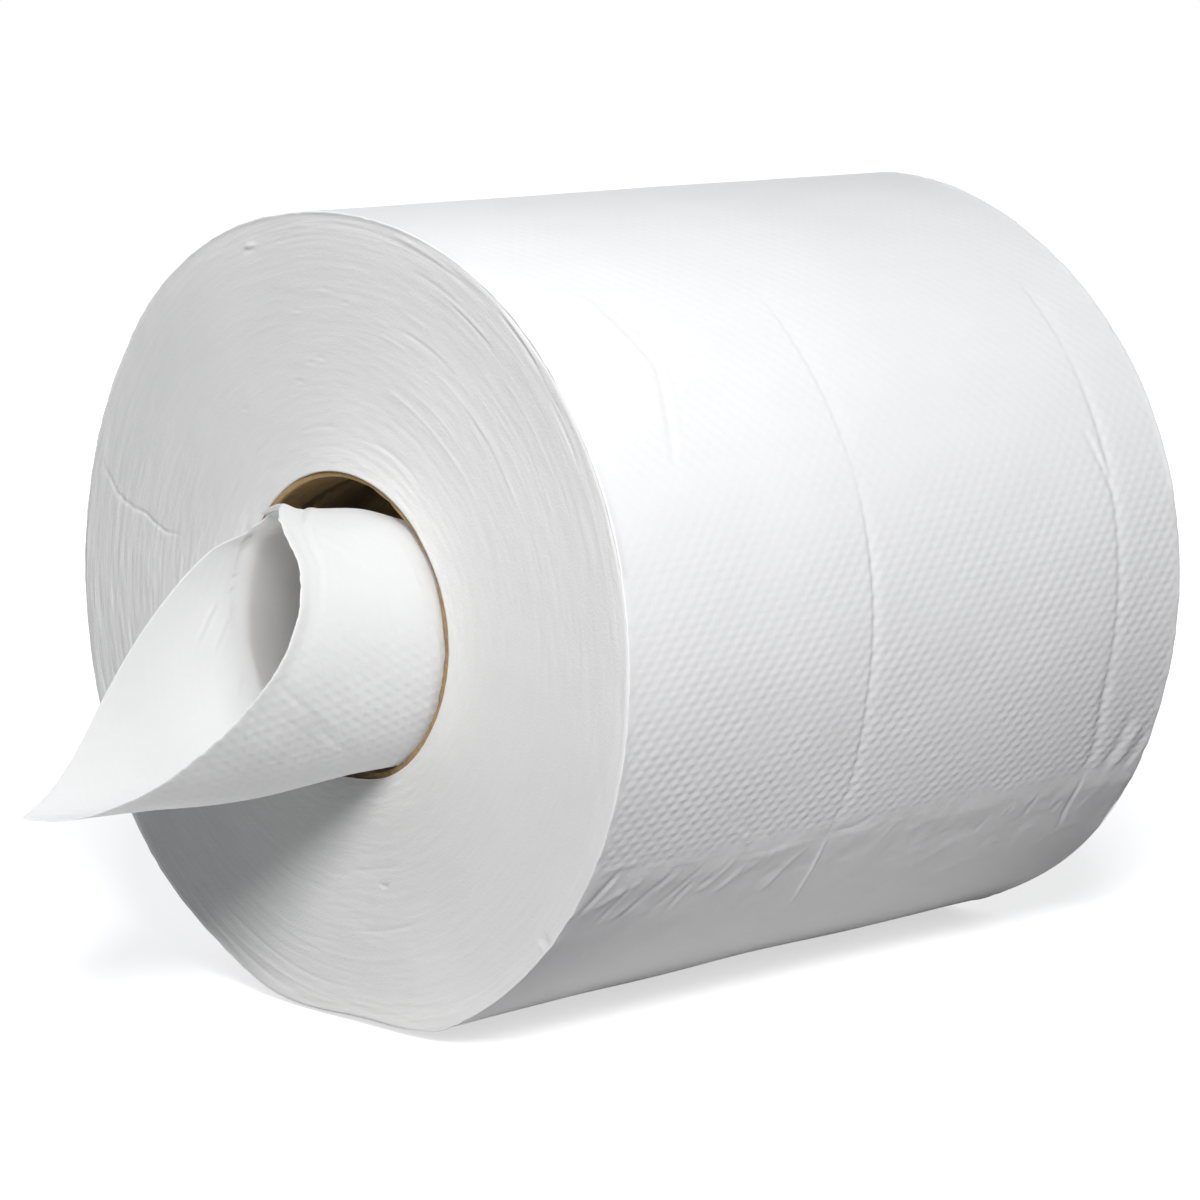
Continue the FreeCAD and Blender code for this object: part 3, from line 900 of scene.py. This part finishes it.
@dataclass
class CentreSheet:
    """The corner of the web, curled into a tube and drawn out of the core."""

    form: RollForm
    radius: float = 36.95
    thickness: float = 0.36
    tip_angle: float = -6.7
    near_end: float = 222.0
    far_end: float = -146.0
    near_rise: float = 30.6
    far_rise: float = 46.0
    least_reach: float = 3.5
    level_blend: float = 6.0
    crown_drop: float = 6.3
    tucked_under: float = 2.7
    crown: Point = (128, 246)
    inner_draw: float = 12.75
    inner_crown_drop: float = 4.0
    gap: Dent = Dent(16, 15, 0, 20, 1.1)
    dot_height: float = 0.17
    near_columns: int = 170
    far_columns: int = 100
    rows: int = 150
    bump_share: float = 2.1
    lean_reach: float = 90.0
    leans: tuple[Triple, ...] = (
        (-110, 4, -2), (-95, 5, -2), (-60, 11, 0), (-30, 6, 4.6), (0, -11, 0.2),
        (30, -15, 1.6), (60, 2.5, 8.5), (90, 4, 1.5), (130, 0, 11.5), (150, 0, 12))
    # Drawn by place round the sheet and distance in front of the mouth.
    creases: tuple[Line, ...] = (
        Line(((55, 52), (50.7, 46.1), (43.7, 36.7), (33.2, 24)), -0.45, 0.9),
        Line(((-84, 4.6), (-70, 4), (-57, 3.2), (-44, 1.5)), 0.5, 1.6),
        Line(((-62, 9), (-52, 16)), -0.35, 0.8), Line(((-58, 5), (-49, 11)), -0.30, 0.7),
        Line(((-46, 2), (-38, 7)), -0.40, 0.8), Line(((-43, -1), (-36, 3)), -0.30, 0.7),
        Line(((96, 32), (80, 18), (78, 4)), 0.14, 1.2))

    def angles(self) -> Array:
        """The columns of points, from the slit side round under the tip to the torn side."""
        far = np.linspace(self.far_end, self.tip_angle, self.far_columns)
        near = np.linspace(self.tip_angle, self.near_end, self.near_columns)
        return np.concatenate([far, near[1:]])[None, :]

    def reach(self, angle: Array) -> Array:
        """How far in front of the mouth the sheet's edge lies."""
        arc = np.radians(np.abs(angle - self.tip_angle)) * self.radius
        rise = np.where(angle >= self.tip_angle, self.near_rise, self.far_rise)
        reach = self.form.sheet_reach_out - arc * np.tan(np.radians(rise))
        reach = soft_larger(reach, self.least_reach, self.level_blend)
        swell = 6 * bell(np.radians(angle) * self.radius - 95, 14)
        swell = swell - 3.4 * bell(np.radians(angle) * self.radius + 81.5, 2.8)
        torn = np.where(angle >= self.tip_angle, 1, 0.15)
        jag = Grain(61).at(angle * 0.9, 0 * angle) * 0.16 + Grain(62).at(angle * 0.28, 0 * angle) * 0.3
        return reach + swell + torn * jag

    def lean(self, angle: Array) -> list[Array]:
        """How far the free part leans to +X and up at each angle, one lean_reach out."""
        arc = np.radians(angle) * self.radius
        where, *leans = zip(*self.leans)
        smooth = np.linspace(-1, 1, 9)
        weights = bell(smooth, 0.6)
        return [sum(weight * np.interp(arc + 11 * shift, where, values) for weight, shift in zip(weights, smooth))
                / weights.sum() for values in leans]

    def dip(self, angle: Array, drop: float) -> Array:
        """How much the section is drawn in towards the top."""
        share = np.clip((angle - self.crown[0]) / (self.crown[1] - self.crown[0]), 0, 1)
        return drop * np.sin(math.pi * share) ** 2

    def middle(self, angle: Array, out: Array) -> Array:
        """Points of the sheet's middle layer.

        Args:
            angle: angles round the core's axis.
            out: distances in front of the mouth, negative inside the core.

        Returns:
            The points, before folds and dots.
        """
        form = self.form
        turn = np.radians(angle)
        sunk = (np.hypot(out, 5) - out) / 2 / form.sheet_reach_in
        radius = self.radius - self.dip(angle, self.crown_drop) * (1 - sunk)
        radius = radius - self.tucked_under * fade(angle, -118, -138)
        radius = radius - (self.inner_draw + self.dip(angle, self.inner_crown_drop)) * sunk
        radius = radius + form.core_press.at(angle, -out) - self.gap.at(angle, -out)
        beside, above = self.lean(angle)
        free = (np.clip(out, 0, None) / self.lean_reach) ** 2
        x = form.core_shift + radius * np.sin(turn) + beside * free
        z = form.core_height - radius * np.cos(turn) - self.inner_draw * sunk + above * free
        y = -form.length / 2 - out + 0 * x
        return np.stack([x, y, z], axis=-1)

    def folds(self, arc: Array, out: Array, from_edge: Array) -> Array:
        """The lip, creases and soft waves of the sheet.

        Args:
            arc: places round the sheet in mm from its lowest line.
            out: distances in front of the mouth.
            from_edge: distances from the free edge.

        Returns:
            The lift away from the core's axis, in mm.
        """
        torn_top = fade(arc, 40, 70)
        lift = 1.5 * bell(from_edge, 3.2) * torn_top
        pressed = fade(arc, 50, 105)
        lift = lift - 0.40 * bell(from_edge - 7.5, 0.9) * pressed
        lift = lift + 0.28 * bell(from_edge - 9.5, 1.2) * pressed
        lift = lift + 0.55 * Grain(63).at(arc / 26, out / 34) * fade(out, -22, 12)
        lift = lift + 0.16 * Grain(64).at(arc / 9, out / 12)
        for line in self.creases:
            lift = lift + line.relief(arc, out)
        return lift

    @staticmethod
    def dot_share(arc: Array) -> Array:
        """How much of the embossing is left: most low on the outside, little where it was pulled flat."""
        return 0.1 + 0.9 * bell(arc - 42, 24)

    def build(self) -> Piece:
        """Makes both skins of the sheet, closed along all its edges."""
        form = self.form
        angle = self.angles()
        reach = self.reach(angle)
        share = np.linspace(0, 1, self.rows)[:, None] ** 1.15
        out = reach - (reach + form.sheet_reach_in) * share
        arc = np.radians(angle) * self.radius + 0 * out
        points = self.middle(angle + 0 * out, out)
        normals = self.normals(points)
        rise = math.radians(self.near_rise)
        across = arc * math.sin(rise) + out * math.cos(rise)
        along = arc * math.cos(rise) - out * math.sin(rise)
        free = fade(out, -50, -5)
        lift = self.folds(arc, out, reach - out) * free
        lift = np.where(out < 4, np.minimum(lift, 0.1), lift)
        lift = lift + self.dot_height * self.dot_share(arc) * EMBOSSING.height(across, along)
        points = points + normals * lift[..., None]
        normals = self.normals(points)
        half = self.thickness / 2 * fade(reach - out, -0.4, 0.7)[..., None]
        skins = np.stack([points + normals * half, points - normals * half])
        web = np.broadcast_to(np.stack([across, along], axis=-1), (2, *across.shape, 2))
        rows, columns = out.shape
        faces = self.closed_faces(rows, columns)
        dots = np.broadcast_to(self.bump_share * self.dot_share(arc), (2, *out.shape))
        # Painted shade on the inner skin only, fading in from the mouth to 45 mm out, darkening the inside
        # towards the tip
        painted_shade = np.stack([0 * out, fade(out, 0, 45)])
        piece = make_piece("pulled_sheet", skins, faces, web, {"dots": dots, "painted_shade": painted_shade})
        finish = WebFinish("thin_web", light=(0.94, 0.94, 0.94), dark=(0.89, 0.89, 0.89), glow=0.60)
        fit_out(piece, "centre_sheet", finish.material())
        return piece

    @staticmethod
    def normals(points: Array) -> Array:
        """The directions away from the core's axis, square to the sheet."""
        along = np.gradient(points, axis=0)
        round_ = np.gradient(points, axis=1)
        normal = np.cross(along, round_)
        return normal / np.linalg.norm(normal, axis=-1, keepdims=True)

    @staticmethod
    def closed_faces(rows: int, columns: int) -> Array:
        """The faces of two skins and of the rim between them."""
        numbers = np.arange(2 * rows * columns).reshape(2, rows, columns)
        faces = [quads(rows, columns), quads(rows, columns, first=rows * columns, flip=True)]
        for first, second in (numbers[:, 0, :], numbers[:, -1, ::-1], numbers[:, ::-1, 0], numbers[:, :, -1]):
            faces.append(np.stack([first[1:], first[:-1], second[:-1], second[1:]], axis=-1))
        return np.concatenate(faces)


@dataclass(frozen=True)
class Lamp:
    """One square studio lamp."""

    name: str
    place: Triple
    size: float
    power: float
    colour: Triple = (1, 1, 1)

    def build(self, aim: Vector) -> None:
        """Sets the lamp up, turned to a point in metres."""
        light = bpy.data.lights.new(self.name, "AREA")
        light.size = self.size
        light.energy = self.power
        light.color = self.colour
        lamp = bpy.data.objects.new(self.name, light)
        lamp.location = self.place
        lamp.rotation_euler = (aim - lamp.location).to_track_quat("-Z", "Y").to_euler()
        bpy.context.scene.collection.objects.link(lamp)


@dataclass
class Studio:
    """A white floor, plain soft light and the camera."""

    ambient: Triple = (0.95, 0.97, 1)
    ambient_from: Triple = (-0.1, -0.85, 0.4)
    ambient_strength: float = 0.45
    ambient_edge: float = -0.5
    lamp_aim: Triple = (0, 0, 0.09)
    floor_span: float = 12.0
    near_floor: Triple = (0.61, 0.60, 0.60)
    far_floor: Triple = (0.06, 0.06, 0.065)
    near_centre: Triple = (0.05, -0.005, 0)
    near_reach: Point = (0.07, 0.16)
    seen_floor_colour: Triple = (0.80, 0.80, 0.82)
    shadow_glow: float = 0.62
    shadow_reach: Point = (0.28, 0.62)
    camera_place: Triple = (0.790927, -0.778254, 0.273894)
    camera_azimuth: float = 45.866
    camera_elevation: float = 9.207
    lens: float = 129.46
    lamps: tuple[Lamp, ...] = (
        Lamp("key", (0.72, -0.62, 0.74), 0.34, 12.1),
        Lamp("rear", (-0.95, 0.85, 0.16), 0.50, 8),
    )

    def light(self) -> None:
        """Sets up the lamps and the plain surroundings, white where the camera looks past the roll."""
        for lamp in self.lamps:
            lamp.build(Vector(self.lamp_aim))
        world = bpy.data.worlds.new("surroundings")
        bpy.context.scene.world = world
        graph = Graph(world, "OutputWorld")
        toward = graph.add("TexCoord").outputs["Generated"]
        facing = graph.vector("DOT_PRODUCT", toward, Vector(self.ambient_from).normalized())
        strength = graph.ramp(facing, self.ambient_edge, 1, 0, self.ambient_strength)
        room = graph.add("Background", {0: (*self.ambient, 1), 1: strength}).outputs[0]
        white = graph.add("Background", {0: (1, 1, 1, 1), 1: 1}).outputs[0]
        graph.finish(graph.mix(graph.seen_straight(), room, white))

    def floor(self) -> None:
        """Lays the floor: white to the camera, with the roll's soft shadow on it."""
        half = self.floor_span / 2 / METRES
        corners = np.array([[[x, y, -0.1] for x in (-half, half)] for y in (-half, half)])
        piece = make_piece("studio_floor", corners, quads(2, 2))
        graph = Graph.material("studio_floor")
        spot = graph.add("TexCoord").outputs["Object"]
        beside = graph.vector("LENGTH", graph.vector("SUBTRACT", spot, self.near_centre))
        shade = graph.shade(graph.ramp(beside, *self.near_reach), self.near_floor, self.far_floor)
        matte = graph.add("BsdfDiffuse", {"Color": shade}).outputs[0]
        pale = graph.add("BsdfDiffuse", {"Color": (*self.seen_floor_colour, 1)})
        glow = graph.ramp(graph.vector("LENGTH", spot), *self.shadow_reach, self.shadow_glow)
        white = graph.add("Emission", {"Color": (1, 1, 1, 1), "Strength": glow})
        bright = graph.add("AddShader", {0: pale.outputs[0], 1: white.outputs[0]}).outputs[0]
        piece.data.materials.append(graph.finish(graph.mix(graph.seen_straight(), matte, bright)))

    def camera(self) -> None:
        """Places the camera at the picture's viewing angle."""
        data = bpy.data.cameras.new("camera")
        data.sensor_width = 36
        data.lens = self.lens
        data.clip_end = 30
        camera = bpy.data.objects.new("camera", data)
        azimuth = math.radians(self.camera_azimuth)
        elevation = math.radians(self.camera_elevation)
        level = math.cos(elevation)
        back = Vector((math.sin(azimuth) * level, -math.cos(azimuth) * level, math.sin(elevation)))
        camera.location = self.camera_place
        camera.rotation_euler = (-back).to_track_quat("-Z", "Y").to_euler()
        bpy.context.scene.collection.objects.link(camera)
        bpy.context.scene.camera = camera

    def build(self) -> None:
        """Sets up the whole studio."""
        self.floor()
        self.light()
        self.camera()
        bpy.context.scene.view_settings.view_transform = "Standard"


def report(piece: Piece) -> None:
    """Logs a piece's size and count of faces."""
    size = piece.dimensions / METRES
    log.info("%s: %.1f x %.1f x %.1f mm, %d faces", piece.name, *size, len(piece.data.polygons))


def main() -> None:
    """Builds the roll piece by piece, then the studio."""
    logging.basicConfig(level=logging.INFO, format="%(message)s")
    form = RollForm.from_frame()
    Studio().build()
    pieces = WoundSide(form).build()
    pieces.append(RollEnd(form, EndFace.MOUTH, rings=150, spokes=470).build())
    pieces.append(RollEnd(form, EndFace.BACK, rings=110, spokes=300).build())
    pieces.append(CoreTube(form).build())
    pieces.append(CentreSheet(form).build())
    bpy.context.view_layer.update()
    for piece in pieces:
        report(piece)


if __name__ == "__main__":
    main()
